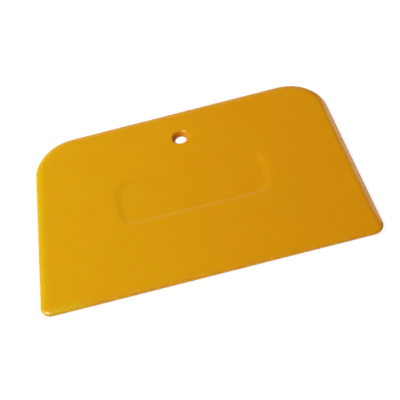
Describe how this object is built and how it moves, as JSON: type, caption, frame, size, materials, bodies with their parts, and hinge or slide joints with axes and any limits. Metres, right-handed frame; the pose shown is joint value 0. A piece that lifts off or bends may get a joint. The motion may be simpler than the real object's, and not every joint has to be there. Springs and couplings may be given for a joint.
{
  "type": "squeegee applicator",
  "caption": "Flat moulded plastic squeegee plate with a straight blade edge, rounded corners and edges, a hang hole and a shallow recessed panel.",
  "frame": {"origin": "centre of the bounding box at the flat back face, which the plate lies on", "axes": "+X along the blade edge, +Y from the blade edge to the grip edge, +Z out of the front face with the panel"},
  "size_m": [0.1192, 0.076, 0.0024],
  "materials": {
    "plate": "smooth moulded, semi-gloss, amber yellow"
  },
  "bodies": {
    "root": {"squeegee_plate": "plate"}
  },
  "joints": []
}
